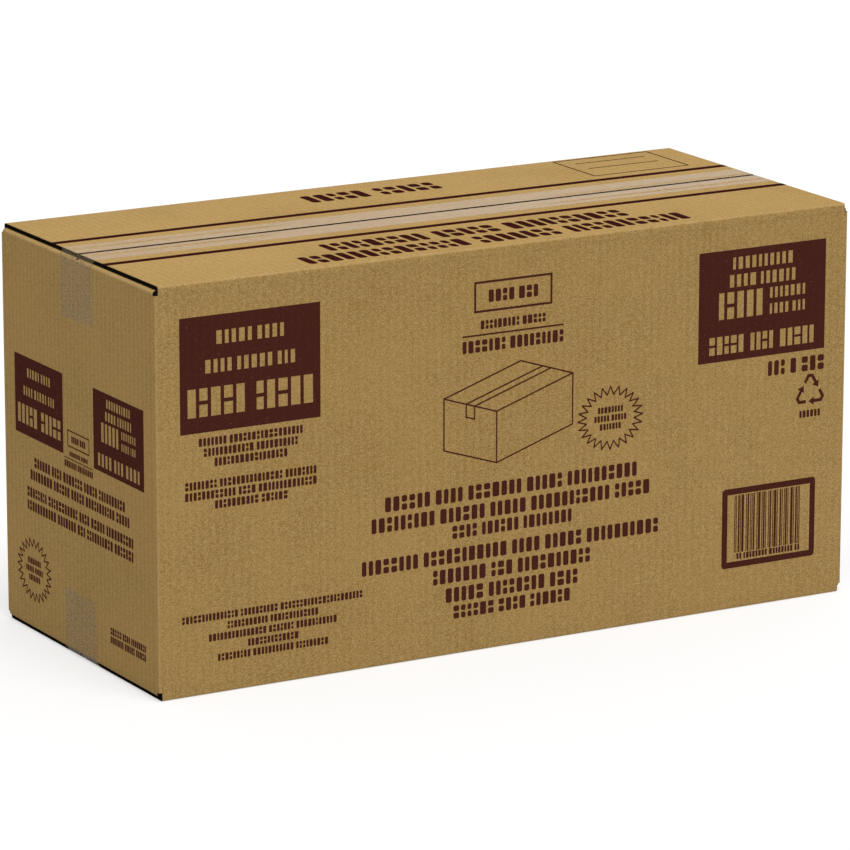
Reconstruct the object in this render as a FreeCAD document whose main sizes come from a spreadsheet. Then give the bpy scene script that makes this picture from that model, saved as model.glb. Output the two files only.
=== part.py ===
import FreeCAD, Part
import math
import os
import re

import Sketcher

# A sealed shipping case of corrugated board, in millimetres. Its length runs along X, its depth along Y,
# and the front faces -Y. The origin is at the middle of its base.

doc = FreeCAD.newDocument("shipping_case")

dimensions = {
    # folded board
    "caseLength": 575.0,
    "caseDepth": 244.0,
    "caseHeight": 298.0,
    "boardThickness": 3.2,
    "linerThickness": 0.4,  # paper left above and below the open flute of a cut end
    "fluteHollow": 2.4,  # how deep the open flute goes into a cut end
    "flapInset": 2.8,  # from an end panel's face to the cut ends of the long flaps
    "flapFoldRadius": 1.8,
    "endFoldRadius": 2.5,
    "cornerRadius": 1.2,
    "seamGap": 2.2,  # between the two long flaps
    "jointStep": 2.0,  # where the back panel's raw edge stops short of the glued corner
    # tape
    "tapeWidth": 50.0,
    "tapeThickness": 0.1,
    "tapeTail": 48.5,  # how far a tail reaches from the top or the base
    # print
    "inkThickness": 0.1,
    "labelWidth": 111.0,
    "labelHeight": 83.0,
    "labelMargin": 18.9,
    "labelTop": 24.6,
    "notePitch": 7.65,
    "noteLetters": 5.9,
    "noteDrop": 7.0,  # from a label's lower edge to the middle of the first note row
    "addressPitch": 7.6,
    "addressLetters": 5.3,
    "addressAcross": 91.1,
    "addressUp": 56.3,
    "titleLetters": 10.8,
    "titleSmallLetters": 9.6,
    "titlePitch": 14.6,
    "titleUpper": 118.9,
    "titleLower": 73.9,
    "cartoucheWidth": 65.0,
    "cartoucheHeight": 22.8,
    "cartoucheLine": 1.6,
    "cartoucheDown": 36.0,  # from the top of the case
    "ruleWidth": 84.0,
    "ruleLine": 1.2,
    "ruleDrop": 27.8,  # from the cartouche's middle
    "markLetters": 9.0,
    "markWidth": 41.0,
    "markOverLetters": 6.4,
    "markOverWidth": 54.0,
    "markOverRise": 7.2,  # from the rule to the middle of the words over it
    "markUnderDrop": 8.0,
    "starWide": 55.6,
    "starHigh": 47.2,
    "starLine": 1.0,
    "starLetters": 4.6,
    "starRowPitch": 6.3,
    "starAcross": 82.5,
    "starDown": 138.3,
    "figureLine": 1.05,
    "figureLong": 67.0,
    "figureShort": 46.0,
    "figureTall": 38.0,
    "figureAcross": -3.5,
    "figureDown": 123.0,
    "countLetters": 11.3,
    "countWidth": 49.5,
    "countDrop": 10.3,  # from a label's lower edge
    "loopReach": 15.0,  # from its middle to the corners of its triangle
    "loopLine": 2.4,
    "loopNoteWidth": 18.3,
    "loopNoteLetters": 5.4,
    "loopNoteDrop": 16.8,
    "loopMargin": 30.7,
    "loopDown": 139.5,
    "codeWidth": 82.2,
    "codeHeight": 60.8,
    "codeFrame": 4.6,
    "codeMargin": 24.7,
    "codeUp": 31.6,
    "barModule": 0.635,
    "barHeight": 43.8,
    "barDrop": 1.0,  # from the frame to the bars
    "digitLetters": 4.6,
    "digitDrop": 0.7,
    "endLabelScale": 0.708,  # the end panels carry the same labels, smaller
    "endLabelTop": 91.6,
    "endMarkScale": 0.54,
    "endMarkDown": 137.2,
    "endTitleLetters": 7.4,
    "endTitlePitch": 10.0,
    "endTitleUpper": 129.8,
    "endTitleLower": 106.1,
    "endStarMargin": 46.2,
    "endStarUp": 47.8,
    "sizeNoteMargin": 47.0,
    "sizeNoteUp": 33.5,
    "sizeNotePitch": 6.5,
    "sizeNoteLetters": 5.2,
    "sizeNoteWidth": 55.0,
    "bandLine": 6.2,
    "bandOffset": 40.7,  # from the seam
    "topLetters": 22.4,
    "topUpper": 68.4,  # from the seam, towards the front
    "topUpperWidth": 249.0,
    "topLower": 99.0,
    "topLowerWidth": 316.5,
    "backWordWidth": 111.0,
    "backWordLetters": 24.0,
    "backWordOffset": 85.3,
    "formWidth": 85.5,
    "formHeight": 62.0,
    "formLine": 1.3,
    "formAcross": 219.1,
    "formOffset": 86.0,
    "formRuleWidth": 62.0,
    "formRulePitch": 19.7,
}

endFold = "min(endFoldRadius; flapInset * 0.95)"  # the fold ends before the long flaps' cut ends
cornerFold = "min(cornerRadius; flapInset * 0.95)"
jointFold = "min(cornerRadius; jointStep * 0.95)"

wordGap = 0.45  # as a share of the letters' height
starPoints = 24
starValley = 0.74  # how far the ring reaches between two points, as a share of a point's reach
figureSlope = 18  # degrees
figureTapeSides = (0.42, 0.58)  # where the figure's tape lies, as shares of its short side
figureTapeTail = 0.25  # as a share of its height
loopTail, loopBend, loopNeck, loopTip = 0.36, 0.13, 0.37, 0.55  # places on a side, as shares of its length
loopWing = 1.35  # half an arrowhead's width, in lines
codeModules = 95
codeRowModules = 88

sheet = doc.addObject("Spreadsheet::Sheet", "sizes")
for row, (alias, value) in enumerate(dimensions.items(), start=1):
    sheet.set(f"A{row}", alias)
    sheet.set(f"B{row}", str(value))
    sheet.setAlias(f"B{row}", alias)
doc.recompute()


def formula(text):
    """The same formula, with each dimension's name pointing into the sheet."""

    def inSheet(found):
        name = found.group()
        return f"sizes.{name}" if name in dimensions else name

    return re.sub(r"[A-Za-z]\w*", inSheet, str(text))


def value(text):
    return float(sheet.evalExpression(formula(text)))


def bind(item, **settings):
    for name, text in settings.items():
        item.setExpression(name, formula(text))


def bindPlace(item, x, y, z):
    for axis, text in zip("xyz", (x, y, z)):
        item.setExpression(f"Placement.Base.{axis}", formula(text))


# Sketches and features of the folded pieces


def newBody(name):
    body = doc.addObject("PartDesign::Body", name)
    body.Label = name
    return body


def outlines(body, name, plane, shapes, height="0"):
    """A sketch of closed outlines, each a list of (u, v) formulas, parallel to one of the body's planes."""
    origin = next(item for item in body.Origin.OriginFeatures if item.Role == plane)
    sketch = body.newObject("Sketcher::SketchObject", name)
    sketch.AttachmentSupport = [(origin, "")]
    sketch.MapMode = "FlatFace"
    sketch.setExpression("AttachmentOffset.Base.z", formula(height))
    for corners in shapes:
        first = sketch.GeometryCount
        points = [FreeCAD.Vector(value(u), value(v), 0) for u, v in corners]
        for start, end in zip(points, points[1:] + points[:1]):
            sketch.addGeometry(Part.LineSegment(start, end))
        for k, (corner, point) in enumerate(zip(corners, points)):
            following = first + (k + 1) % len(corners)
            sketch.addConstraint(Sketcher.Constraint("Coincident", first + k, 2, following, 1))
            for kind, text, size in zip(("DistanceX", "DistanceY"), corner, point):
                held = sketch.addConstraint(Sketcher.Constraint(kind, -1, 1, first + k, 1, size))
                sketch.setExpression(f"Constraints[{held}]", formula(text))
    return sketch


def rectangle(u0, v0, u1, v1):
    return [(u0, v0), (u1, v0), (u1, v1), (u0, v1)]


def pad(body, sketch, length, side="One side"):
    feature = body.newObject("PartDesign::Pad", sketch.Name + "Pad")
    feature.Profile = sketch
    feature.SideType = side
    bind(feature, Length=length)
    doc.recompute()
    return feature


def pocket(body, sketch, depth, upward):
    """A cut from the sketch's plane, along its normal if upward and against it if not."""
    before = body.Tip.Shape.Volume
    feature = body.newObject("PartDesign::Pocket", sketch.Name + "Pocket")
    feature.Profile = sketch
    feature.Reversed = upward
    bind(feature, Length=depth)
    doc.recompute()
    if not feature.Shape.Volume < before:
        raise RuntimeError(f"{feature.Name} cuts nothing")
    return feature


def roundEdges(body, name, radius, run, wanted):
    """Rounds the straight edges that run along one axis and whose ends both pass the test."""
    base = body.Tip
    edges = []
    for k, edge in enumerate(base.Shape.Edges, start=1):
        ends = [vertex.Point for vertex in edge.Vertexes]
        if len(ends) == 2 and all(wanted(point) for point in ends):
            if near(abs((ends[1] - ends[0]).normalize().dot(run)), 1):
                edges.append(f"Edge{k}")
    feature = body.newObject("PartDesign::Fillet", name)
    feature.Base = (base, edges)
    bind(feature, Radius=radius)
    doc.recompute()
    return feature


def near(a, b):
    return abs(a - b) < 1e-4


alongX, alongY, alongZ = FreeCAD.Vector(1, 0, 0), FreeCAD.Vector(0, 1, 0), FreeCAD.Vector(0, 0, 1)


# The case: long panels with their flaps, end panels whose flaps lie one board lower, slots at the corners


def makeCase():
    body = newBody("case")
    halfLength, halfDepth = "caseLength / 2", "caseDepth / 2"
    flapEnd = "(caseLength / 2 - flapInset)"
    slotEdge = "(caseDepth / 2 - flapInset)"

    longPanels = outlines(
        body, "longPanels", "XY_Plane", [rectangle(f"-{flapEnd}", f"-{halfDepth}", flapEnd, halfDepth)]
    )
    pad(body, longPanels, "caseHeight")
    endPanels = outlines(
        body,
        "endPanels",
        "XY_Plane",
        [rectangle(f"-{halfLength}", f"-{halfDepth}", halfLength, halfDepth)],
        "boardThickness",
    )
    pad(body, endPanels, "caseHeight - 2 * boardThickness")

    slots = [
        rectangle(f"{sx}{flapEnd}", f"{sy}{slotEdge}", f"{sx}{halfLength}", f"{sy}{halfDepth}")
        for sx in ("", "-")
        for sy in ("", "-")
    ]
    for name, height, upward in (("baseSlots", "0", True), ("topSlots", "caseHeight", False)):
        pocket(body, outlines(body, name, "XY_Plane", slots, height), "2 * boardThickness", upward)
    glueJoint = outlines(
        body,
        "glueJoint",
        "XY_Plane",
        [rectangle(f"{halfLength} - jointStep", f"{halfDepth} - boardThickness", halfLength, halfDepth)],
        "2 * boardThickness",
    )
    pocket(body, glueJoint, "caseHeight - 4 * boardThickness", True)

    length, depth, height = value("caseLength"), value("caseDepth"), value("caseHeight")
    board = value("boardThickness")
    roundEdges(
        body,
        "longFolds",
        "flapFoldRadius",
        alongX,
        lambda p: near(abs(p.y), depth / 2) and (near(p.z, 0) or near(p.z, height)),
    )
    roundEdges(
        body,
        "endFolds",
        endFold,
        alongY,
        lambda p: near(abs(p.x), length / 2) and (near(p.z, board) or near(p.z, height - board)),
    )
    roundEdges(
        body,
        "corners",
        cornerFold,
        alongZ,
        lambda p: near(abs(p.x), length / 2) and near(abs(p.y), depth / 2) and board < p.z < height - board,
    )
    roundEdges(
        body,
        "jointFold",
        jointFold,
        alongZ,
        lambda p: near(p.x, length / 2) and near(p.y, depth / 2 - board) and board < p.z < height - board,
    )

    seam = [rectangle(f"-{halfLength}", "-seamGap / 2", halfLength, "seamGap / 2")]
    for name, level, upward in (("baseSeam", "0", True), ("topSeam", "caseHeight", False)):
        pocket(body, outlines(body, name, "XY_Plane", seam, level), "boardThickness", upward)
    tapeBed = [rectangle(f"-{flapEnd}", "-tapeWidth / 2", flapEnd, "tapeWidth / 2")]
    pocket(body, outlines(body, "tapeBed", "XY_Plane", tapeBed), "tapeThickness", True)

    hollows = [
        rectangle(f"{side}(seamGap / 2 + linerThickness)", low, f"{side}({halfDepth} - flapFoldRadius)", high)
        for side in ("", "-")
        for low, high in (
            ("linerThickness", "boardThickness - linerThickness"),
            ("caseHeight - boardThickness + linerThickness", "caseHeight - linerThickness"),
        )
    ]
    for name, place, upward in (("leftFlutes", f"-{flapEnd}", True), ("rightFlutes", flapEnd, False)):
        pocket(body, outlines(body, name, "YZ_Plane", hollows, place), "fluteHollow", upward)
    return body


# One strip of tape: along the seam, over the cut ends of the flaps and down both end panels


def makeTape(name, inside, outside, bend, tail):
    """inside and outside are the strip's heights on the flaps, bend is where it meets an end panel."""
    body = newBody(name)
    flapEnd, panel = "(caseLength / 2 - flapInset)", "caseLength / 2"
    outerBend = f"{bend} + ({outside}) - ({inside})"
    inner = [(panel, tail), (panel, bend), (flapEnd, inside)]
    outer = [
        (f"{panel} + tapeThickness", tail),
        (f"{panel} + tapeThickness", outerBend),
        (f"{flapEnd} + tapeThickness", outside),
    ]
    leftSide = [(f"-({u})", v) for u, v in inner[::-1] + outer]
    strip = inner + leftSide + outer[::-1]
    profile = outlines(body, name + "Side", "XZ_Plane", [strip])
    pad(body, profile, "tapeWidth", "Symmetric")
    return body


# Print: thin solids of ink, all drawn as on the front (x across, z up) and then turned to their panel


def bar(name, plane, width, height, across, up):
    """A rectangle of ink, by its middle, on the panel that lies the plane's distance out from the middle."""
    box = doc.addObject("Part::Box", name)
    bind(box, Length=width, Width="inkThickness", Height=height)
    bindPlace(box, f"{across} - ({width}) / 2", f"-({plane}) - inkThickness", f"{up} - ({height}) / 2")
    return box


def words(name, plane, width, letters, across, up, shares):
    """A row of plain bars, one for each word. Shares are the words' lengths."""
    gap = f"({letters}) * {wordGap}"
    inked = f"(({width}) - {len(shares) - 1} * {gap})"
    bars = []
    done = 0
    for k, share in enumerate(shares):
        middle = (done + share / 2) / sum(shares)
        place = f"({across}) - ({width}) / 2 + {inked} * {middle:.6f} + {k} * {gap}"
        bars.append(bar(f"{name}{k + 1}", plane, f"{inked} * {share / sum(shares):.6f}", letters, place, up))
        done += share
    return bars


def frame(name, plane, width, height, line, across, up):
    outer = bar(name + "Outer", plane, width, height, across, up)
    inner = bar(name + "Inner", plane, f"{width} - 2 * {line}", f"{height} - 2 * {line}", across, up)
    return cut(name, outer, inner)


def cut(name, base, tool):
    result = doc.addObject("Part::Cut", name)
    result.Base = base
    result.Tool = tool
    return result


def group(name, items):
    result = doc.addObject("Part::Compound", name)
    result.Links = items
    return result


def slab(name, plane, faces, across, up):
    """Flat faces drawn about the origin, given the ink's thickness and fused where they meet."""
    thickness = FreeCAD.Vector(0, -value("inkThickness"), 0)
    solids = [face.extrude(thickness) for face in faces]
    shape = solids[0].multiFuse(solids[1:]).removeSplitter() if len(solids) > 1 else solids[0]
    item = doc.addObject("Part::Feature", name)
    item.Shape = shape
    item.Placement.Base = FreeCAD.Vector(value(across), -value(plane), value(up))
    return item


def polygon(points):
    return Part.makePolygon([FreeCAD.Vector(x, 0, z) for x, z in points + points[:1]])


# rows of a label: width, letter height, middle across and up from the label's own middle, word lengths
leftRows = (
    (53.3, 9.8, 0.0, 25.3, (4, 3)),
    (70.9, 9.7, 0.0, 5.2, (3, 4, 2)),
    (99.2, 20.6, 0.0, -20.0, (3, 3)),
)
rightRows = (
    (52.2, 9.2, 0.0, 31.1, (6,)),
    (57.5, 9.5, 0.0, 18.0, (3, 4)),
    (38.1, 20.2, -18.9, -0.1, (3,)),
    (31.0, 8.2, 22.1, 5.8, (6,)),
    (31.0, 8.0, 22.1, -6.3, (3, 2)),
    (91.8, 13.5, 0.0, -29.4, (3, 2, 3)),
)
noteRows = (
    (82.2, (3, 8), 0),
    (74.5, (6, 5), 1),
    (57.5, (7,), 2),
    (104.0, (4, 8, 4), 4),
    (104.3, (6, 2, 7), 5),
    (57.5, (5, 3), 6),
)
addressRows = ((144.4, (6, 4, 9)), (72.4, (5, 6)), (102.4, (7, 3, 5)), (40.4, (5,)), (88.2, (4, 5, 4)))
titleRows = (
    ("titleUpper", 211.0, (5, 3, 6, 4, 8)),
    ("titleUpper - titlePitch", 233.0, (7, 5, 4, 9, 4)),
    ("titleUpper - 1.9 * titlePitch", 100.0, (2, 3, 4)),
    ("titleLower", 249.0, (6, 9, 3, 4, 8)),
    ("titleLower - titlePitch", 132.0, (5, 2, 7)),
    ("titleLower - 2 * titlePitch", 111.0, (4, 6, 3)),
    ("titleLower - 2.9 * titlePitch", 98.0, (3, 2, 3)),
)
starRows = ((0.38, (6,)), (0.49, (4, 4)), (0.32, (5,)))  # width as a share of the star's
endTitleRows = (
    ("endTitleUpper", 145.2, (5, 3, 6, 4, 8)),
    ("endTitleUpper - endTitlePitch", 158.5, (7, 5, 4, 9, 4)),
    ("endTitleLower", 170.0, (6, 9, 3, 4, 8)),
    ("endTitleLower - endTitlePitch", 169.8, (8, 5, 2, 7, 5)),
)


def makeLabel(name, plane, rows, scale, across, up):
    """A solid field of ink with its rows of words left open."""
    field = bar(name + "Field", plane, f"labelWidth * {scale}", f"labelHeight * {scale}", across, up)
    openings = []
    for k, (width, letters, right, above, shares) in enumerate(rows):
        openings += words(
            f"{name}Row{k + 1}_",
            plane,
            f"{width} * {scale}",
            f"{letters} * {scale}",
            f"{across} + {right} * {scale}",
            f"{up} + {above} * {scale}",
            shares,
        )
    return cut(name, field, group(name + "Openings", openings))


def makeMark(name, plane, scale, up):
    """A plain framed cartouche over two rows of words with a rule between them."""
    rule = f"({up}) - ruleDrop * {scale}"
    mark = [
        frame(
            name + "Frame",
            plane,
            f"cartoucheWidth * {scale}",
            f"cartoucheHeight * {scale}",
            f"cartoucheLine * {scale}",
            "0",
            up,
        ),
        bar(name + "Rule", plane, f"ruleWidth * {scale}", f"ruleLine * {scale}", "0", rule),
    ]
    rows = (
        ("Inside", "markWidth", "markLetters", up, (4, 3)),
        ("Over", "markOverWidth", "markOverLetters", f"{rule} + markOverRise * {scale}", (5, 3)),
        ("Under", "ruleWidth", "markLetters", f"{rule} - markUnderDrop * {scale}", (4, 5)),
    )
    for row, width, letters, rowUp, shares in rows:
        mark += words(name + row, plane, f"{width} * {scale}", f"{letters} * {scale}", "0", rowUp, shares)
    return mark


def makeStar(name, plane, across, up):
    """A ring of plain points with three rows of words inside."""
    points = []
    for k in range(2 * starPoints):
        reach = 0.5 if k % 2 == 0 else 0.5 * starValley
        angle = math.pi * k / starPoints
        wide, high = value("starWide") * reach, value("starHigh") * reach
        points.append(FreeCAD.Vector(wide * math.cos(angle), 0, high * math.sin(angle)))
    line = value("starLine")
    sides = [stroke(start, end, line) for start, end in zip(points, points[1:] + points[:1])]
    star = [slab(name, plane, sides + [disc(point, line) for point in points], across, up)]
    for k, (width, shares) in enumerate(starRows):
        row = f"{up} + {1 - k} * starRowPitch"
        star += words(f"{name}Row{k + 1}_", plane, f"starWide * {width}", "starLetters", across, row, shares)
    return star


def makeFigure(name, plane, across, up):
    """A plain carton in thin lines, drawn from above one corner."""
    line = value("figureLine")
    slope = math.radians(figureSlope)
    longSide = FreeCAD.Vector(math.cos(slope), 0, math.sin(slope)) * value("figureLong")
    shortSide = FreeCAD.Vector(-math.cos(slope), 0, math.sin(slope)) * value("figureShort")
    tall = FreeCAD.Vector(0, 0, value("figureTall"))
    base = -(longSide + shortSide + tall) / 2
    top = base + tall
    tapeStart, tapeEnd = [top + shortSide * share for share in figureTapeSides]
    tail = tall * figureTapeTail
    runs = [
        (base, base + longSide),
        (base, base + shortSide),
        (base + longSide, top + longSide),
        (base + shortSide, top + shortSide),
        (base, top),
        (top, top + longSide),
        (top, top + shortSide),
        (top + longSide, top + longSide + shortSide),
        (top + shortSide, top + longSide + shortSide),
        (tapeStart, tapeStart + longSide),
        (tapeEnd, tapeEnd + longSide),
        (tapeStart, tapeStart - tail),
        (tapeEnd, tapeEnd - tail),
        (tapeStart - tail, tapeEnd - tail),
    ]
    faces = []
    for start, end in runs:
        past = (end - start).normalize() * (line / 2)
        faces.append(stroke(start - past, end + past, line))
    return [slab(name, plane, faces, across, up)]


def stroke(start, end, width):
    """A flat face along a straight run, as wide as the line."""
    along = (end - start).normalize()
    beside = FreeCAD.Vector(-along.z, 0, along.x) * (width / 2)
    corners = (start - beside, end - beside, end + beside, start + beside)
    return Part.Face(polygon([(p.x, p.z) for p in corners]))


def disc(middle, width):
    return Part.Face(Part.Wire(Part.makeCircle(width / 2, middle, alongY)))


def makeLoop(name, plane, across, up):
    """Three plain arrows, each bent round one corner of a triangle."""
    corners = []
    for turn in (0, 2 * math.pi / 3, 4 * math.pi / 3):
        corners.append(FreeCAD.Vector(math.sin(turn), 0, math.cos(turn)) * value("loopReach"))
    band = value("loopLine")
    loop = []
    for k in range(3):
        inward = corners[k] - corners[k - 1]
        onward = corners[(k + 1) % 3] - corners[k]
        tail = corners[k] - inward * loopTail
        bends = (corners[k] - inward * loopBend, corners[k] + onward * loopBend)
        neck = corners[k] + onward * loopNeck
        tip = corners[k] + onward * loopTip
        along = (tip - neck).normalize()
        wing = FreeCAD.Vector(-along.z, 0, along.x) * (band * loopWing)
        head = Part.Face(polygon([(p.x, p.z) for p in (neck - wing, tip, neck + wing)]))
        lap = along * (band / 10)  # the last run ends just inside the arrowhead
        faces = [stroke(tail, bends[0], band), stroke(*bends, band), stroke(bends[1], neck + lap, band), head]
        faces += [disc(bend, band) for bend in bends]
        loop.append(slab(f"{name}{k + 1}", plane, faces, across, up))
    return loop


def makeBarcode(name, plane, across, up):
    """A thick frame round bars in an invented rhythm, over a row of short bars."""
    code = [frame(name + "Frame", plane, "codeWidth", "codeHeight", "codeFrame", across, up)]
    barSteps, gapSteps = (1, 1, 2, 1, 3, 1, 2), (1, 2, 1, 1, 3)
    barsUp = f"{up} + codeHeight / 2 - codeFrame - barDrop - barHeight / 2"
    at = 0
    k = 0
    while at + barSteps[k % len(barSteps)] <= codeModules:
        wide = barSteps[k % len(barSteps)]
        place = f"{across} + barModule * ({at + wide / 2} - {codeModules} / 2)"
        code.append(bar(f"{name}Bar{k + 1}", plane, f"barModule * {wide}", "barHeight", place, barsUp))
        at += wide + gapSteps[k % len(gapSteps)]
        k += 1
    underUp = f"{barsUp} - barHeight / 2 - digitDrop - digitLetters / 2"
    rowWidth = f"barModule * {codeRowModules}"
    code += words(name + "Row", plane, rowWidth, "digitLetters", across, underUp, (1, 5, 5, 1))
    return code


def frontPrint():
    plane = "caseDepth / 2"
    labelAcross = "(caseLength / 2 - labelMargin - labelWidth / 2)"
    labelUp = "(caseHeight - labelTop - labelHeight / 2)"
    labelFoot = "(caseHeight - labelTop - labelHeight)"
    items = [
        makeLabel("frontLeftLabel", plane, leftRows, 1, f"-{labelAcross}", labelUp),
        makeLabel("frontRightLabel", plane, rightRows, 1, labelAcross, labelUp),
    ]
    for k, (width, shares, step) in enumerate(noteRows):
        up = f"{labelFoot} - noteDrop - {step} * notePitch"
        items += words(f"note{k + 1}_", plane, width, "noteLetters", f"-{labelAcross}", up, shares)
    for k, (width, shares) in enumerate(addressRows):
        up = f"addressUp - {k} * addressPitch"
        across = "addressAcross - caseLength / 2"
        items += words(f"address{k + 1}_", plane, width, "addressLetters", across, up, shares)
    for k, (up, width, shares) in enumerate(titleRows):
        letters = "titleSmallLetters" if k in (2, 6) else "titleLetters"
        items += words(f"title{k + 1}_", plane, width, letters, "0", up, shares)
    items += makeMark("mark", plane, 1, "caseHeight - cartoucheDown")
    items += makeFigure("figure", plane, "figureAcross", "caseHeight - figureDown")
    items += makeStar("star", plane, "starAcross", "caseHeight - starDown")
    countAcross = "caseLength / 2 - labelMargin - countWidth / 2"
    countUp = f"{labelFoot} - countDrop"
    items += words("count", plane, "countWidth", "countLetters", countAcross, countUp, (3, 1, 4))
    loopAcross = "caseLength / 2 - loopMargin"
    items += makeLoop("loop", plane, loopAcross, "caseHeight - loopDown")
    noteUp = "caseHeight - loopDown - loopNoteDrop"
    items += words("loopNote", plane, "loopNoteWidth", "loopNoteLetters", loopAcross, noteUp, (4,))
    items += makeBarcode(
        "code", plane, "(caseLength / 2 - codeMargin - codeWidth / 2)", "(codeUp + codeHeight / 2)"
    )
    return items


def endPrint():
    plane = "caseLength / 2"
    labelAcross = "(caseDepth / 2 - labelMargin - labelWidth * endLabelScale / 2)"
    labelUp = "(caseHeight - endLabelTop - labelHeight * endLabelScale / 2)"
    items = [
        makeLabel("endLeftLabel", plane, leftRows, "endLabelScale", f"-{labelAcross}", labelUp),
        makeLabel("endRightLabel", plane, rightRows, "endLabelScale", labelAcross, labelUp),
    ]
    for k, (up, width, shares) in enumerate(endTitleRows):
        items += words(f"endTitle{k + 1}_", plane, width, "endTitleLetters", "0", up, shares)
    items += makeMark("endMark", plane, "endMarkScale", "caseHeight - endMarkDown")
    items += makeStar("endStar", plane, "endStarMargin - caseDepth / 2", "endStarUp")
    for k, shares in enumerate(((3, 2, 4), (4, 3, 3))):
        up = f"sizeNoteUp - {k} * sizeNotePitch"
        across = "caseDepth / 2 - sizeNoteMargin"
        items += words(f"sizeNote{k + 1}_", plane, "sizeNoteWidth", "sizeNoteLetters", across, up, shares)
    return items


def topPrint():
    plane = "caseHeight"
    flapLength = "caseLength - 2 * flapInset"
    items = [
        bar("frontBand", plane, flapLength, "bandLine", "0", "-bandOffset"),
        bar("backBand", plane, flapLength, "bandLine", "0", "bandOffset"),
        frame("form", plane, "formWidth", "formHeight", "formLine", "formAcross", "formOffset"),
    ]
    items += words("topRow1_", plane, "topUpperWidth", "topLetters", "0", "-topUpper", (5, 3, 6))
    items += words("topRow2_", plane, "topLowerWidth", "topLetters", "0", "-topLower", (8, 4, 6))
    items += words("backWord", plane, "backWordWidth", "backWordLetters", "0", "backWordOffset", (3, 3))
    for k in range(2):
        up = f"formOffset + formHeight / 4 - {k} * formRulePitch"
        items.append(bar(f"formRule{k + 1}", plane, "formRuleWidth", "formLine", "formAcross", up))
    return items


def turned(name, items, axis, degrees):
    """One node of print, turned from the front's place to its own panel."""
    node = group(name, items)
    node.Label = name
    node.Placement.Rotation = FreeCAD.Rotation(FreeCAD.Vector(*axis), degrees)
    return node


upright = (0, 0, 1)
front, end = frontPrint(), endPrint()
nodes = [
    makeCase(),
    makeTape(
        "top_tape",
        "caseHeight",
        "caseHeight + tapeThickness",
        f"caseHeight - boardThickness - {endFold} / 2",
        "caseHeight - tapeTail",
    ),
    makeTape(
        "bottom_tape",
        "tapeThickness",
        "0",
        f"boardThickness + {endFold} / 2",
        "tapeTail",
    ),
    turned("front_print", front, upright, 0),
    turned("back_print", front, upright, 180),
    turned("left_end_print", end, upright, -90),
    turned("right_end_print", end, upright, 90),
    turned("top_print", topPrint(), (1, 0, 0), -90),
]
doc.recompute()

for item in doc.Objects:
    if "Invalid" in item.State or "Error" in item.State:
        raise RuntimeError(f"{item.Label} failed: {item.State}")
for node in nodes:
    if node.Shape.isNull() or not node.Shape.isValid():
        raise RuntimeError(f"{node.Label} has no valid shape")

os.makedirs("parts", exist_ok=True)
for node in nodes:
    node.Shape.exportStep(f"parts/{node.Label}.step")
    box = node.Shape.BoundBox
    size = f"{box.XLength:.1f} x {box.YLength:.1f} x {box.ZLength:.1f} mm"
    print(f"{node.Label}: {len(node.Shape.Solids)} solids, {size}")
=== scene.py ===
import math
import random

import bmesh
import bpy
from mathutils import Matrix, Vector


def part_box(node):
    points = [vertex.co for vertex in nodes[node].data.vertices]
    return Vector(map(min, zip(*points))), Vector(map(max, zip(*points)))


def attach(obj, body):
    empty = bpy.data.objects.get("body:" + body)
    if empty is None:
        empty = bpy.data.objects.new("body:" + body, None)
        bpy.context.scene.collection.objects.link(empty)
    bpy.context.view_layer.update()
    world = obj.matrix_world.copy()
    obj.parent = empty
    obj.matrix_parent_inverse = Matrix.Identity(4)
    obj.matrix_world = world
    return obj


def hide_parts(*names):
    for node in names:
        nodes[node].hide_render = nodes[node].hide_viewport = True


# A taped shipping case of corrugated board, printed in dark brown ink.
# Metres; length along X, depth along Y, the front faces -Y, up is Z.

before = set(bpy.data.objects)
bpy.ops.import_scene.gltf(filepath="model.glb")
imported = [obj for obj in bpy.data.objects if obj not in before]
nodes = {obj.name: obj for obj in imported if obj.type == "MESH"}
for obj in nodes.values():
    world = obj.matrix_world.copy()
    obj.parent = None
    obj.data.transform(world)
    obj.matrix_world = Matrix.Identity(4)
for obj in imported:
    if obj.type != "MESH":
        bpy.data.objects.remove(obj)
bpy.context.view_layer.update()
caseLow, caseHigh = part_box("case")
caseHalf = (caseHigh - caseLow) / 2
print("Frame:", len(nodes), "nodes loaded")


# Shader sums: a Wire is one socket, and arithmetic on it adds Math nodes

class Wire:
    def __init__(self, finish, socket):
        self.finish = finish
        self.socket = socket

    def sums(self, operation, first, second=None):
        values = {0: first} if second is None else {0: first, 1: second}
        return self.finish.add("ShaderNodeMath", {"operation": operation}, values)

    def __add__(self, other):
        return self.sums("ADD", self, other)

    def __sub__(self, other):
        return self.sums("SUBTRACT", self, other)

    def __rsub__(self, other):
        return self.sums("SUBTRACT", other, self)

    def __mul__(self, other):
        return self.sums("MULTIPLY", self, other)

    def __gt__(self, other):
        return self.sums("GREATER_THAN", self, other)

    def __lt__(self, other):
        return self.sums("LESS_THAN", self, other)

    def __abs__(self):
        return self.sums("ABSOLUTE", self)

    __radd__ = __add__
    __rmul__ = __mul__

    def sine(self):
        return self.sums("SINE", self)

    def larger(self, other):
        return self.sums("MAXIMUM", self, other)

    def rise(self, low, high):  # 0 below low, 1 above high, soft between
        return self.finish.add(
            "ShaderNodeMapRange",
            {"interpolation_type": "SMOOTHSTEP", "clamp": True},
            {"Value": self, "From Min": low, "From Max": high},
        )

    def fall(self, low, high):
        return 1 - self.rise(low, high)


# The nodes of one material, or of the world

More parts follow.
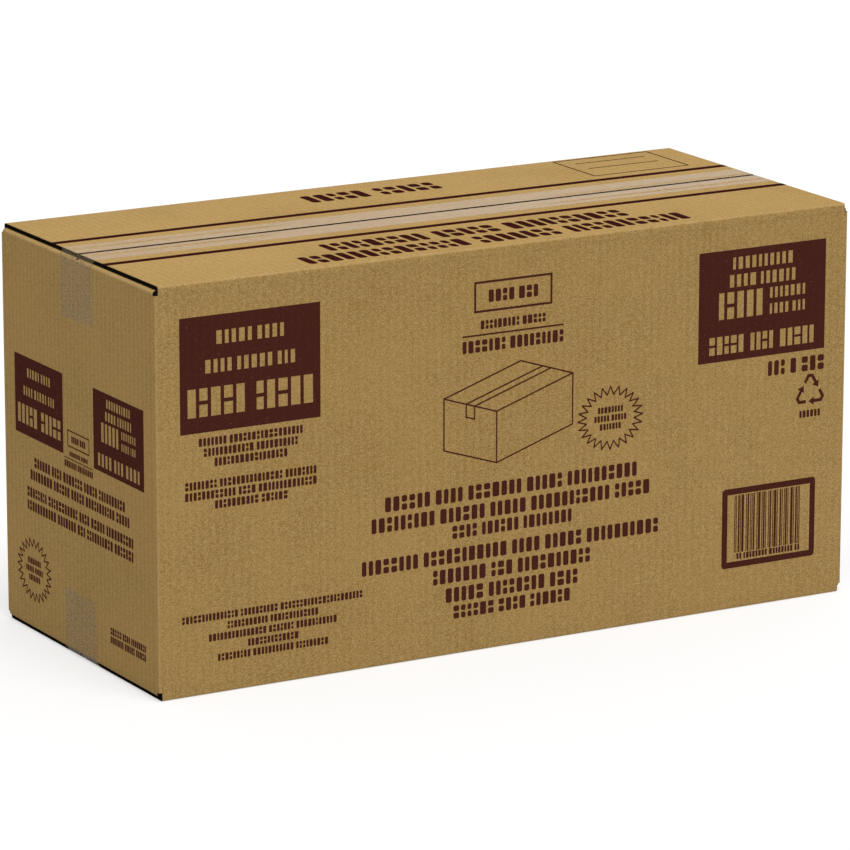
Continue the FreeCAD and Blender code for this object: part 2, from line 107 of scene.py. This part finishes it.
class Finish:
    def __init__(self, owner):
        owner.use_nodes = True
        self.owner = owner
        self.tree = owner.node_tree
        self.tree.nodes.clear()
        self.coordinates = {}

    # one node: its settings first, then what its sockets hold; gives back the named output
    def add(self, kind, settings=None, values=None, out=0):
        node = self.tree.nodes.new(kind)
        for name, setting in (settings or {}).items():
            setattr(node, name, setting)
        for name, value in (values or {}).items():
            if isinstance(value, Wire):
                self.tree.links.new(value.socket, node.inputs[name])
            else:
                node.inputs[name].default_value = value
        return Wire(self, node.outputs[out]) if len(node.outputs) else None

    def place(self, kind="Object"):
        if kind not in self.coordinates:
            self.coordinates[kind] = self.add("ShaderNodeTexCoord", out=kind)
        return self.coordinates[kind]

    def split(self, vector):
        first = self.add("ShaderNodeSeparateXYZ", values={0: vector})
        return [Wire(self, output) for output in first.socket.node.outputs]

    def stretched(self, vector, scale, turn=0.0):
        values = {0: vector, "Scale": scale, "Rotation": (0, 0, turn)}
        return self.add("ShaderNodeMapping", {"vector_type": "POINT"}, values)

    def noise(self, vector, scale=1.0, detail=2.0, roughness=0.5, distortion=0.0):
        return self.add("ShaderNodeTexNoise", values={
            "Vector": vector, "Scale": scale, "Detail": detail, "Roughness": roughness, "Distortion": distortion,
        })

    # two colours by a 0 to 1 value
    def blend(self, amount, one, two):
        colours = {}
        for name, colour in ((6, one), (7, two)):
            colours[name] = colour if isinstance(colour, Wire) else (*colour, 1)
        settings = {"data_type": "RGBA", "clamp_factor": True}
        return self.add("ShaderNodeMix", settings, {0: amount, **colours}, out=2)

    # a colour made lighter or darker by a value around 1
    def shaded(self, colour, amount):
        return self.add("ShaderNodeVectorMath", {"operation": "SCALE"}, {0: colour, "Scale": amount})

    # a normal from a height in metres
    def relief(self, height):
        return self.add("ShaderNodeBump", values={"Height": height, "Strength": 1.0, "Distance": 1.0})

    def surface(self, **sockets):
        values = {name.replace("_", " "): value for name, value in sockets.items()}
        return self.out(self.add("ShaderNodeBsdfPrincipled", values=values))

    def out(self, shader, kind="Material"):
        self.add("ShaderNodeOutput" + kind, values={"Surface": shader})
        return self.owner


def newFinish(name):
    return Finish(bpy.data.materials.new(name))


def newObject(name, data):
    made = bpy.data.objects.new(name, data)
    bpy.context.scene.collection.objects.link(made)
    return made


# A mesh in its place, riding on the case

def makePiece(name, bm, material, replaced, smoothUnder=28):
    for face in bm.faces:
        face.smooth = True
    for edge in bm.edges:
        edge.smooth = edge.calc_face_angle(0) < math.radians(smoothUnder)
    mesh = bpy.data.meshes.new(name)
    bm.to_mesh(mesh)
    bm.free()
    piece = newObject(name, mesh)
    mesh.materials.append(material)
    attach(piece, "root")
    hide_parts(replaced)
    return piece


def mergedCopy(node):
    bm = bmesh.new()
    bm.from_mesh(node.data)
    bmesh.ops.remove_doubles(bm, verts=bm.verts, dist=1e-6)
    return bm


# Kraft board: fibres, speckle, the faint washboard of the flutes, worn folds with a painted highlight, a painted
# shade beside the flap folds, and dark cut ends with painted shade in their hollows

board = {
    "colour": (0.475, 0.300, 0.104),
    "darkColour": (0.330, 0.188, 0.040),
    "lightColour": (0.640, 0.432, 0.178),
    "warmColour": (0.490, 0.290, 0.088),
    # near black: partly a cut edge's own brown, partly painted shade of the hollows
    "rawEdgeAndShadeColour": (0.012, 0.009, 0.006),
    "wornAndHighlightColour": (0.60, 0.41, 0.18),
    "darkFleck": (0.22, 0.12, 0.035),
    "paleFleck": (0.68, 0.50, 0.25),
    "roughness": 0.86,
    "shine": 0.06,
    "thickness": 0.0032,
    "seamShade": 0.0020,        # half the painted shade line along the meeting flaps
    "flutePitch": 0.00626,
    "fluteDrift": 0.8,          # how far the flutes wander, in radians
    "fluteTone": 0.044,
    "fluteRelief": 0.000028,
    "grainRelief": 0.00005,
    "speckleScale": 1150.0,
    "grainScale": (340, 1250, 1),
    "fibreScale": (230, 950, 3),
    "fibreTurn": 0.35,
    "fleckScale": (500, 1300, 5),
    "fleckTurn": 0.6,
    "mottleScale": 16.0,
    "cloudScale": 4.2,
    "driftScale": 30.0,
    "rubScale": 90.0,
    "speckleTone": 2.5,         # how far each pattern sways the liner's tone
    "grainTone": 0.62,
    "fibreTone": 0.55,
    "mottleTone": 0.34,
    "cloudTone": 0.20,
    "calmer": 0.32,             # what the ends and flaps lose of the fine patterns
    "endFlutes": 0.7,           # what the ends gain of the flutes
    "warmShare": 0.25,
    "darkFleckShare": 0.45,
    "paleFleckShare": 0.35,
    "foldEdge": (0.0003, 0.0022),       # a fold's rubbed line and its painted highlight fade out between these
    "endFoldEdge": (0.0010, 0.0038),    # the same under the cut ends of the flaps
    "foldRubAndHighlight": (0.15, 0.4),
    "creaseShadeIn": (0.0045, 0.0058),       # the painted shade line beside a flap's fold
    "creaseShadeOut": (0.0066, 0.0085),
    "creaseShadeDepth": 0.035,
    "inside": 0.00035,          # a cut face lies deeper than this, and not at the inner liner
    "linerStep": 0.0003,
}


# the patterns that board and ink share
def boardPattern(finish):
    place = finish.place()
    x, y, z = finish.split(place)
    normal = finish.split(finish.place("Normal"))
    onEnd = abs(normal[0]) > 0.7
    onFlap = abs(normal[2]) > 0.7
    along = x * (1 - onEnd) + y * onEnd
    across = z * (1 - onFlap) + y * onFlap
    sheet = finish.add("ShaderNodeCombineXYZ", values={0: along, 1: across, 2: onEnd * 0.7 + onFlap * 1.3})
    drift = finish.noise(sheet, board["driftScale"], 1.0)
    return {
        "place": place, "x": x, "y": y, "z": z, "sheet": sheet,
        "normal": normal, "onEnd": onEnd, "onFlap": onFlap,
        "speckle": finish.noise(place, board["speckleScale"], roughness=0.60),
        "grain": finish.noise(finish.stretched(sheet, board["grainScale"]), 1.0, 3.0, 0.6, 0.4),
        "wave": (along * (2 * math.pi / board["flutePitch"]) + drift * board["fluteDrift"]).sine(),
    }


# tone of the liner, from dark to light around a half
def linerTone(finish, look, mottle):
    fibres = finish.stretched(look["sheet"], board["fibreScale"], board["fibreTurn"])
    fibres = finish.noise(fibres, 1.0, 2.0, 0.55, 0.8)
    cloud = finish.noise(look["place"], board["cloudScale"])
    calm = 1 - (look["onEnd"] + look["onFlap"]) * board["calmer"]
    tone = 0.5 + (look["speckle"] - 0.5) * board["speckleTone"] * calm
    tone = tone + ((look["grain"] - 0.5) * board["grainTone"] + (fibres - 0.5) * board["fibreTone"]) * calm
    tone = tone + (mottle - 0.5) * board["mottleTone"] + (cloud - 0.5) * board["cloudTone"]
    return tone + look["wave"] * board["fluteTone"] * (1 + look["onEnd"] * board["endFlutes"])


def kraftFinish():
    finish = newFinish("kraftBoard")
    look = boardPattern(finish)
    fromEnd = caseHalf.x - abs(look["x"])
    fromSide = caseHalf.y - abs(look["y"])
    fromFlap = caseHalf.z - abs(look["z"] - caseHalf.z)

    mottle = finish.noise(look["place"], board["mottleScale"], 3.0, 0.55)
    liner = finish.blend(linerTone(finish, look, mottle), board["darkColour"], board["lightColour"])
    liner = finish.blend(mottle.rise(0.42, 0.66) * board["warmShare"], liner, board["warmColour"])

    # dark and light flecks of pulp
    flecks = finish.stretched(look["sheet"], board["fleckScale"], board["fleckTurn"])
    flecks = finish.noise(flecks, 1.0, 1.0, 0.5, 0.6)
    liner = finish.blend(flecks.rise(0.70, 0.78) * board["darkFleckShare"], liner, board["darkFleck"])
    liner = finish.blend(flecks.fall(0.22, 0.29) * board["paleFleckShare"], liner, board["paleFleck"])

    # folds are rubbed lighter, partly real wear and partly a painted highlight; beside a flap's fold a painted
    # shade darkens the liner
    nearEnd, nearSide, nearFlap = (away.fall(*board["foldEdge"]) for away in (fromEnd, fromSide, fromFlap))
    endFold = fromFlap.fall(*(board["thickness"] + edge for edge in board["endFoldEdge"]))
    fold = (nearEnd * nearSide).larger(nearSide * nearFlap).larger(nearEnd * endFold)
    rubAndHighlightNoise = finish.noise(look["place"], board["rubScale"], 3.0, 0.6).rise(0.36, 0.66)
    least, more = board["foldRubAndHighlight"]
    # lighter at the folds: rubbed wear and a painted highlight
    liner = finish.blend(fold * (least + rubAndHighlightNoise * more), liner, board["wornAndHighlightColour"])
    # painted shade beside a flap's fold, on the upright faces only
    paintedCreaseShade = fromFlap.rise(*board["creaseShadeIn"]) * fromFlap.fall(*board["creaseShadeOut"])
    liner = finish.shaded(liner, 1 - paintedCreaseShade * (abs(look["normal"][2]) < 0.5) * board["creaseShadeDepth"])

    # cut faces: they look along an axis but lie inside the outer faces; with the seam between the flaps they get
    # a near-black that is partly the paper's dark cut edge and partly painted shade in the hollow flutes, slots
    # and seam gap
    cutEdgeAndShade = look["onFlap"] * (abs(look["y"]) < board["seamShade"])
    cutEdgeAndShade = cutEdgeAndShade.larger((abs(look["normal"][0]) > 0.93) * (fromEnd > board["inside"]))
    for facing, away in ((look["normal"][1], fromSide), (look["normal"][2], fromFlap)):
        offLiner = abs(away - board["thickness"]) > board["linerStep"]
        cutEdgeAndShade = cutEdgeAndShade.larger((abs(facing) > 0.93) * (away > board["inside"]) * offLiner)
    colour = finish.blend(cutEdgeAndShade, liner, finish.shaded(board["rawEdgeAndShadeColour"], 0.7 + look["speckle"] * 0.6))

    height = look["wave"] * board["fluteRelief"] + (look["grain"] + look["speckle"]) * board["grainRelief"]
    return finish.surface(
        Base_Color=colour,
        Roughness=board["roughness"] + (look["speckle"] - 0.5) * 0.12 - fold * 0.05,
        Specular_IOR_Level=board["shine"],
        Normal=finish.relief(height),
    )


shippingCase = makePiece("shippingCase", mergedCopy(nodes["case"]), kraftFinish(), "case")
print("Board: case of", len(shippingCase.data.polygons), "faces")


# Brown ink, thin enough that the board's fibres and flutes show in it

ink = {
    "colour": (0.081, 0.0215, 0.0150),
    "flapShadedColour": (0.033, 0.0022, 0.0016),   # painted darker on the flaps: a painted shade that offsets the brighter light on the top
    "thinColour": (0.125, 0.046, 0.028),
    "roughness": 0.70,
    "shine": 0.004,
    "thinShare": 0.35,
    "fluteThin": 0.06,
    "grainRelief": 0.00004,
    "pinholeScale": (700, 1100, 4),
    "pinholeTurn": 0.2,
    "pinholeShare": 0.55,
    "rowHeight": (0.0033, 0.026),   # a plain solid between these is a row, cut into blocks
    "blockPitch": 0.58,             # one block and its gap, as shares of the row's height
    "blockGap": 0.18,
    "blockCorner": 0.11,
    "cornerMost": 0.4,              # of a block's width
    "blockSplit": 0.13,
    "splitShare": 0.25,             # so many blocks are split across their middle
    "splitOver": 0.005,             # in rows taller than this
    "fieldLength": 0.05,            # shapes longer than this, with openings in them, are fields
    "fieldPitch": 0.60,
    "fieldGap": 0.24,
    "barOverlap": 0.00001,          # a bar across an opening ends this deep in the ink beside it
    "largeRow": 0.012,              # rows taller than this have narrower blocks, more of them split
    "largePitch": 0.43,
    "largeGap": 0.13,
    "largeSplitShare": 0.4,
    "unevenness": 0.24,
    "frameLine": 0.003,             # a frame with thicker lines than this has round outer corners
    "frameCorner": 0.0026,
    "bandLength": 0.4,              # lines longer than this are bands, which print a little wide
    "bandSpread": 1.14,
    "seed": 11,
}


def inkFinish():
    finish = newFinish("brownInk")
    look = boardPattern(finish)
    thin = (look["grain"].rise(0.50, 0.78) + look["speckle"].rise(0.52, 0.72)) * ink["thinShare"]
    thin = thin + look["wave"].rise(0.2, 1.0) * ink["fluteThin"]
    colour = finish.blend(thin, ink["colour"], ink["thinColour"])
    # the ink on the flaps takes a darker colour, a painted shade
    colour = finish.blend(look["onFlap"], colour, ink["flapShadedColour"])
    pinholes = finish.stretched(look["sheet"], ink["pinholeScale"], ink["pinholeTurn"])
    pinholes = finish.noise(pinholes, 1.0, 1.0)
    colour = finish.blend(pinholes.rise(0.72, 0.78) * ink["pinholeShare"], colour, board["colour"])
    height = look["wave"] * board["fluteRelief"] + look["grain"] * ink["grainRelief"]
    return finish.surface(
        Base_Color=colour,
        Roughness=ink["roughness"] + (look["speckle"] - 0.5) * 0.2,
        Specular_IOR_Level=ink["shine"],
        Normal=finish.relief(height),
    )


# the separate shapes of a print, each as its list of vertices
def islands(bm):
    seen = set()
    for first in bm.verts:
        if first in seen:
            continue
        seen.add(first)
        queue, island = [first], []
        while queue:
            vert = queue.pop()
            island.append(vert)
            for edge in vert.link_edges:
                other = edge.other_vert(vert)
                if other not in seen:
                    seen.add(other)
                    queue.append(other)
        yield island


def reach(points, axis):
    values = [point.co[axis] for point in points]
    return min(values), max(values)


# left, right, low and high ends on the panel
def outline(points, panel):
    return (*reach(points, panel["along"]), *reach(points, panel["up"]))


# openings in a field of ink: the walls inside its outline, joined edge to edge
def openings(island, panel):
    faces = {face for vert in island for face in vert.link_faces}
    walls = {face for face in faces if abs(face.normal[panel["out"]]) < 0.5}
    found = []
    while walls:
        queue = [walls.pop()]
        loop = set()
        while queue:
            wall = queue.pop()
            loop.update(wall.verts)
            for edge in wall.edges:
                for other in edge.link_faces:
                    if other in walls:
                        walls.discard(other)
                        queue.append(other)
        if len(loop) == 8 and len({round(vert.co[panel["along"]], 6) for vert in loop}) == 2:
            found.append(outline(loop, panel))
    found.sort(key=lambda box: box[1] - box[0])
    return found[:-1]  # the widest is the outline


# the same order in every run, whatever order the mesh has: from low to high, then along
def inOrder(boxes):
    return sorted(boxes, key=lambda box: [round(place, 5) for place in (box[3], box[1], box[4], box[2])])


# how far an edge reaches out of the panel
def rising(edge, panel):
    return abs(edge.verts[0].co[panel["out"]] - edge.verts[1].co[panel["out"]])


def roundEdges(bm, edges, radius, segments):
    bmesh.ops.bevel(
        bm, geom=list(edges), offset=radius, offset_type="OFFSET", affect="EDGES",
        segments=segments, profile=0.5, material=-1,
    )


# one block of ink; gives back the edges that stand out from the panel
def addBlock(bm, panel, depth, left, right, low, high):
    size, middle = [0, 0, 0], [0, 0, 0]
    for axis, start, end in ((panel["out"], *depth), (panel["along"], left, right), (panel["up"], low, high)):
        size[axis] = end - start
        middle[axis] = (start + end) / 2
    place = Matrix.Translation(middle) @ Matrix.Diagonal((*size, 1))
    made = bmesh.ops.create_cube(bm, size=1, matrix=place)["verts"]
    edges = dict.fromkeys(edge for vert in made for edge in vert.link_edges)
    return [edge for edge in edges if rising(edge, panel) > size[panel["out"]] / 2]


# the ends of each block along a row, in an uneven rhythm
def rhythm(left, right, height, kind, dice):
    kind = "large" if height > ink["largeRow"] else kind
    pitch, space = ink[kind + "Pitch"] * height, ink[kind + "Gap"] * height
    count = max(1, round((right - left + space) / pitch))
    shares = [1 + dice.uniform(-1, 1) * ink["unevenness"] for _ in range(count)]
    inked = (right - left) - (count - 1) * space
    place = left
    for share in shares:
        width = inked * share / sum(shares)
        yield place, place + width
        place += width + space


# the two ends of the gap across a split block
def splitGap(low, high):
    middle, half = (low + high) / 2, (high - low) * ink["blockSplit"] / 2
    return middle - half, middle + half


# a row of blocks in place of a plain bar of ink
def addRow(bm, panel, box, dice):
    depth, left, right, low, high = box
    height = high - low
    share = ink["largeSplitShare"] if height > ink["largeRow"] else ink["splitShare"]
    corner = ink["blockCorner"] * height
    standing, blocks = [], 0
    for start, end in rhythm(left, right, height, "block", dice):
        corner = min(corner, (end - start) * ink["cornerMost"])
        parts = [(low, high)]
        if dice.random() < share and height > ink["splitOver"]:
            gapLow, gapHigh = splitGap(low, high)
            parts = [(low, gapLow), (gapHigh, high)]
        for foot, head in parts:
            standing += addBlock(bm, panel, depth, start, end, foot, head)
        blocks += len(parts)
    roundEdges(bm, standing, corner, 2)
    return blocks


# bars of ink across an opening in a field, so that blocks of board show between them
def addBars(bm, panel, box, dice):
    depth, left, right, low, high = box
    height = high - low
    over = ink["barOverlap"]
    ends = list(rhythm(left, right, height, "field", dice))
    bars = [(before, after, low - over, high + over) for (_, before), (after, _) in zip(ends, ends[1:])]
    for start, end in ends if height > ink["largeRow"] else ():
        if dice.random() < ink["largeSplitShare"]:
            bars.append((start - over, end + over, *splitGap(low, high)))
    for bar in bars:
        addBlock(bm, panel, (depth[0] + over, depth[1] - over), *bar)
    return len(bars)


# how thick a frame's line is; 0 for any other shape
def frameLine(island, panel):
    across = sorted({round(vert.co[panel["along"]], 5) for vert in island})
    return across[1] - across[0] if len(island) == 16 and len(across) == 4 else 0


def roundFrame(bm, island, panel):
    left, right, low, high = outline(island, panel)
    corners = [
        vert for vert in island
        if min(vert.co[panel["along"]] - left, right - vert.co[panel["along"]]) < 1e-5
        and min(vert.co[panel["up"]] - low, high - vert.co[panel["up"]]) < 1e-5
    ]
    standing = dict.fromkeys(
        edge for vert in corners for edge in vert.link_edges
        if edge.other_vert(vert) in corners and rising(edge, panel) > 5e-5 and edge.calc_length() < 0.001
    )
    roundEdges(bm, standing, ink["frameCorner"], 4)


def spreadBand(bm, island, panel):
    low, high = reach(island, panel["up"])
    toMiddle, spread = [0, 0, 0], [1, 1, 1]
    toMiddle[panel["up"]] = -(low + high) / 2
    spread[panel["up"]] = ink["bandSpread"]
    bmesh.ops.scale(bm, vec=spread, space=Matrix.Translation(toMiddle), verts=island)


def makePrint(name, node, panel, material):
    dice = random.Random(ink["seed"])
    bm = mergedCopy(nodes[node])
    rows, fields = [], []
    least, most = ink["rowHeight"]
    for island in list(islands(bm)):
        depth = reach(island, panel["out"])
        left, right, low, high = outline(island, panel)
        plain = len(island) == 8
        if plain and least < high - low < most and right - left < ink["bandLength"]:
            rows.append((depth, left, right, low, high))
            bmesh.ops.delete(bm, geom=island, context="VERTS")
        elif plain and right - left > ink["bandLength"]:
            spreadBand(bm, island, panel)
        elif frameLine(island, panel) > ink["frameLine"]:
            roundFrame(bm, island, panel)
        elif len(island) > 24 and right - left > ink["fieldLength"]:
            fields += [(depth, *box) for box in openings(island, panel)]
    blocks = sum(addRow(bm, panel, box, dice) for box in inOrder(rows))
    blocks += sum(addBars(bm, panel, box, dice) for box in inOrder(fields))
    bmesh.ops.recalc_face_normals(bm, faces=bm.faces)
    piece = makePiece(name, bm, material, node)
    print("Print:", name, blocks, "blocks,", len(piece.data.polygons), "faces")


panels = {  # which axis points out of the panel, along its rows and up them
    "frontPrint": ("front_print", {"out": 1, "along": 0, "up": 2}),
    "backPrint": ("back_print", {"out": 1, "along": 0, "up": 2}),
    "leftEndPrint": ("left_end_print", {"out": 0, "along": 1, "up": 2}),
    "rightEndPrint": ("right_end_print", {"out": 0, "along": 1, "up": 2}),
    "topPrint": ("top_print", {"out": 2, "along": 0, "up": 1}),
}
printInk = inkFinish()
for name, (node, panel) in panels.items():
    makePrint(name, node, panel, printInk)


# Sealing tape: a clear film with a milk-white haze and a painted sheen on the top, streaked along its length

tape = {
    "colour": (0.270, 0.172, 0.112),
    "paleHazeAndSheenColour": (0.350, 0.236, 0.168),
    "bareColour": (0.020, 0.030, 0.050),    # in thin lines where the glue lies clear
    "endColour": (0.040, 0.022, 0.000),
    "endPaleColour": (0.335, 0.215, 0.050),
    "roughness": 0.24,
    "roughSwing": 0.16,
    "shine": 0.35,
    "bareLines": (      # where across the tape, and from where to where along it
        (0.0150, -0.30, -0.10), (-0.0108, -0.30, -0.12), (0.0062, 0.10, 0.30), (-0.0156, 0.08, 0.30),
    ),
    "bareHalf": 0.0019,
    "bareFade": 0.03,
    "bareCover": 0.75,  # share of the cover that a bare line takes away
    "streakScale": (1.4, 210, 1.4),
    "broadScale": (0.9, 75, 0.9),
    "creaseScale": (25, 190, 25),
    "grainScale": 480.0,
    "gritScale": 820.0,
    "streakShare": 0.70,
    "cover": 0.38,
    "coverSwing": 0.12,
    "grainSwing": 0.16,
    "endCover": 0.34,
    "endSwing": 0.42,   # the ends look gritty, because the board's grain shows in the glue
    "creaseCover": 0.05,
    "edgeCover": 0.10,
    "edgeLine": (0.0242, 0.0249),   # the cut edge catches the light between these
    "seamHalf": 0.0019,
    "streakRelief": 0.00005,
    "creaseRelief": 0.00003,
    "foldAngle": 20,    # degrees; sharper edges, longer than the next line, are the tape's folds
    "foldLength": 0.04,
    "foldBevel": 0.00004,
    "smoothUnder": 10,
    "lift": 0.00002,    # clears the board's own face
}


def tapeFinish():
    finish = newFinish("clearFilm")
    place = finish.place()
    x, y, _ = finish.split(place)
    onFlap = abs(finish.split(finish.place("Normal"))[2]) > 0.7
    streaks = finish.noise(finish.stretched(place, tape["streakScale"]), 1.0, 3.0, 0.6)
    broad = finish.noise(finish.stretched(place, tape["broadScale"]))
    creases = finish.noise(finish.stretched(place, tape["creaseScale"]), distortion=0.3)
    grain = finish.noise(place, tape["grainScale"], roughness=0.6)
    grit = finish.noise(place, tape["gritScale"], 1.0).rise(0.34, 0.66)
    # paler streaks on the top: the film's haze and a painted sheen
    hazeAndSheen = (streaks * tape["streakShare"] + broad * (1 - tape["streakShare"])).rise(0.36, 0.64)

    # thin lines where the board shows clearly
    bare = 0
    for across, start, end in tape["bareLines"]:
        line = abs(y - across).fall(tape["bareHalf"] * 0.6, tape["bareHalf"] * 1.4)
        line = line * x.rise(start, start + tape["bareFade"]) * x.fall(end - tape["bareFade"], end)
        bare = bare + line
    bare = bare * onFlap

    # how much of the board the film hides; it is clear where it bridges the seam, and from inside
    flapCover = tape["cover"] + (hazeAndSheen - 0.5) * tape["coverSwing"] + (grain - 0.5) * tape["grainSwing"]
    endCover = tape["endCover"] + (0.5 - grit) * tape["endSwing"]
    cover = flapCover * onFlap + endCover * (1 - onFlap) + creases.rise(0.62, 0.80) * tape["creaseCover"]
    cover = cover * (1 - bare * tape["bareCover"]) + abs(y).rise(*tape["edgeLine"]) * tape["edgeCover"]
    cover = cover * (1 - abs(y).fall(tape["seamHalf"] * 0.7, tape["seamHalf"] * 1.5) * onFlap)
    cover = cover * (1 - finish.add("ShaderNodeNewGeometry", out="Backfacing"))

    onEnd = finish.blend(grit, tape["endColour"], tape["endPaleColour"])
    onTop = finish.blend(bare, finish.blend(hazeAndSheen, tape["colour"], tape["paleHazeAndSheenColour"]), tape["bareColour"])
    return finish.surface(
        Base_Color=finish.blend(onFlap, onEnd, onTop),
        Roughness=tape["roughness"] + (streaks - 0.5) * tape["roughSwing"],
        Alpha=cover,
        Specular_IOR_Level=tape["shine"],
        Normal=finish.relief(streaks * tape["streakRelief"] + creases * tape["creaseRelief"]),
    )


def makeTape(name, node, material):
    strip = mergedCopy(nodes[node])
    sharp = math.radians(tape["foldAngle"])
    folds = [
        edge for edge in strip.edges
        if edge.calc_face_angle(0) > sharp and edge.calc_length() > tape["foldLength"]
    ]
    roundEdges(strip, folds, tape["foldBevel"], 1)
    grown = (1 + tape["lift"] / caseHalf.x, 1, 1 + tape["lift"] / caseHalf.z)
    toMiddle = Matrix.Translation((0, 0, -caseHalf.z))
    bmesh.ops.scale(strip, vec=grown, space=toMiddle, verts=strip.verts)
    piece = makePiece(name, strip, material, node, tape["smoothUnder"])
    piece.visible_shadow = False      # the film is too clear to shade the board under it
    piece.visible_diffuse = False


film = tapeFinish()
makeTape("topTape", "top_tape", film)
makeTape("bottomTape", "bottom_tape", film)
print("Tape: film on both seams")


# Camera, light and floor

camera = {
    "location": (-1.9164, -3.3313, 1.1062),
    "forward": (0.4830, 0.8408, -0.2443),
    "up": (0.1209, 0.2123, 0.9697),
    "lens": 227.05,
    "sensor": 36.0,
    "clip": (0.05, 60),
}


def aimed(location, forward, up):
    back = -Vector(forward).normalized()
    right = Vector(up).cross(back).normalized()
    turn = Matrix((right, back.cross(right), back)).transposed()
    return Matrix.Translation(location) @ turn.to_4x4()


def makeCamera():
    data = bpy.data.cameras.new("camera")
    data.lens = camera["lens"]
    data.sensor_width = camera["sensor"]
    data.clip_start, data.clip_end = camera["clip"]
    eye = newObject("camera", data)
    eye.matrix_world = aimed(camera["location"], camera["forward"], camera["up"])
    bpy.context.scene.camera = eye


lamps = {  # direction the light travels, strength, how wide it looks in degrees
    "keyLight": ((0.02, 0.22, -0.47), 1.62, 38),
    "backLight": ((-0.62, -0.52, -0.30), 0.30, 50),
}
air = 0.46      # strength of the light from all round


def makeLights():
    for name, (direction, strength, width) in lamps.items():
        data = bpy.data.lights.new(name, "SUN")
        data.energy = strength
        data.angle = math.radians(width)
        newObject(name, data).matrix_world = aimed((0, 0, 2), direction, (0, 1, 0))


# a ray of one kind, such as "Is Camera Ray", as 0 or 1
def ray(finish, kind):
    return finish.add("ShaderNodeLightPath", out=kind)


def makeAir():
    world = bpy.data.worlds.new("studio")
    bpy.context.scene.world = world
    finish = Finish(world)
    seen = ray(finish, "Is Camera Ray").larger(ray(finish, "Is Glossy Ray"))
    strength = finish.add("ShaderNodeMapRange", values={"Value": seen, "To Min": air, "To Max": 1.0})
    white = finish.add("ShaderNodeBackground", values={"Color": (1, 1, 1, 1), "Strength": strength})
    finish.out(white, "World")


floorLook = {
    "size": 40.0,
    "colour": (0.50, 0.50, 0.50),
    "glow": 0.56,
    "drop": 0.0002,         # below the case
    "hiddenUnder": 0.004,   # rays shorter than this don't meet it, so the case's foot stays lit
}


def makeFloor():
    bm = bmesh.new()
    bmesh.ops.create_grid(bm, x_segments=1, y_segments=1, size=floorLook["size"] / 2)
    mesh = bpy.data.meshes.new("floor")
    bm.to_mesh(mesh)
    bm.free()
    floor = newObject("floor", mesh)
    floor.location.z = -floorLook["drop"]
    finish = newFinish("paleFloor")
    paint = finish.add("ShaderNodeBsdfDiffuse", values={"Color": (*floorLook["colour"], 1)})
    seen = ray(finish, "Is Camera Ray").larger(ray(finish, "Is Glossy Ray"))
    glow = finish.add("ShaderNodeEmission", values={"Strength": seen * floorLook["glow"]})
    top = finish.add("ShaderNodeAddShader", values={0: paint, 1: glow})
    # seen from below, and right under the case, the floor isn't there
    below = finish.add("ShaderNodeNewGeometry", out="Backfacing")
    close = ray(finish, "Ray Length") < floorLook["hiddenUnder"]
    clear = finish.add("ShaderNodeBsdfTransparent")
    mesh.materials.append(
        finish.out(finish.add("ShaderNodeMixShader", values={0: below.larger(close), 1: top, 2: clear}))
    )


makeCamera()
makeLights()
makeAir()
makeFloor()
bpy.context.scene.view_settings.view_transform = "Standard"
print("Studio: camera, lamps and floor")
